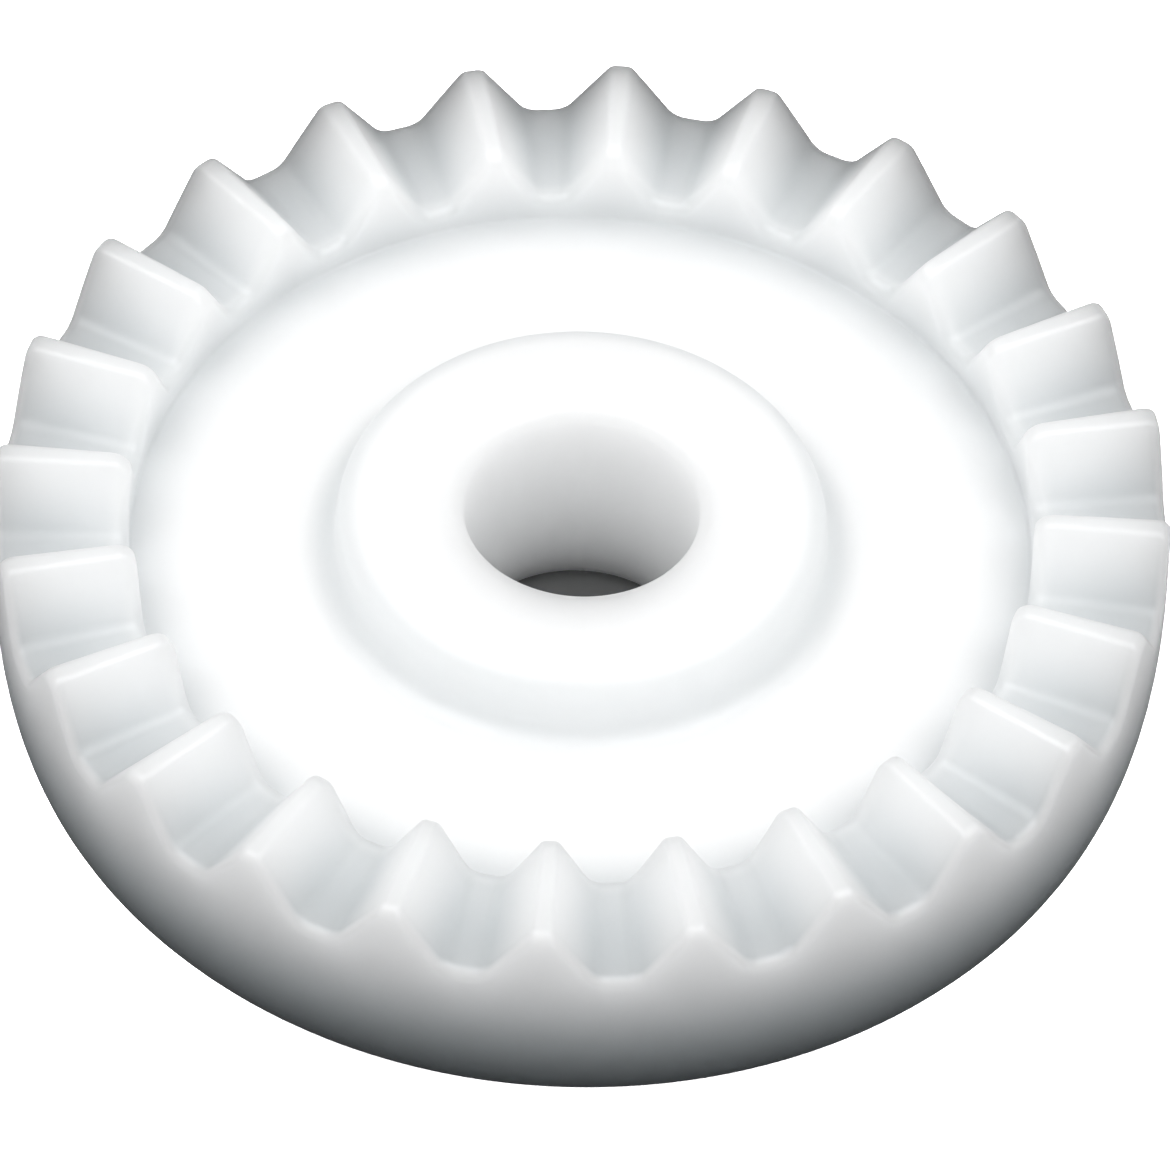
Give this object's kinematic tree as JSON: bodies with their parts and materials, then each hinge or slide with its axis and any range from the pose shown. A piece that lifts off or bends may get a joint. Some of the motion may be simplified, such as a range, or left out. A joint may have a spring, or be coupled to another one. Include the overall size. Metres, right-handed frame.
{
  "type": "crown gear",
  "caption": "Moulded crown gear with radial teeth on its face, a dished web, a low round hub and a plain round bore for a shaft.",
  "frame": {"origin": "on the bore's axis, in the plane of the back face", "axes": "+Z along the bore's axis, towards the teeth; +X through the middle of a tooth"},
  "size_m": [0.029, 0.029, 0.0065],
  "materials": {
    "white_nylon": "satin moulded surface, slightly translucent"
  },
  "bodies": {
    "root": {"crown_gear": "white_nylon"}
  },
  "joints": []
}
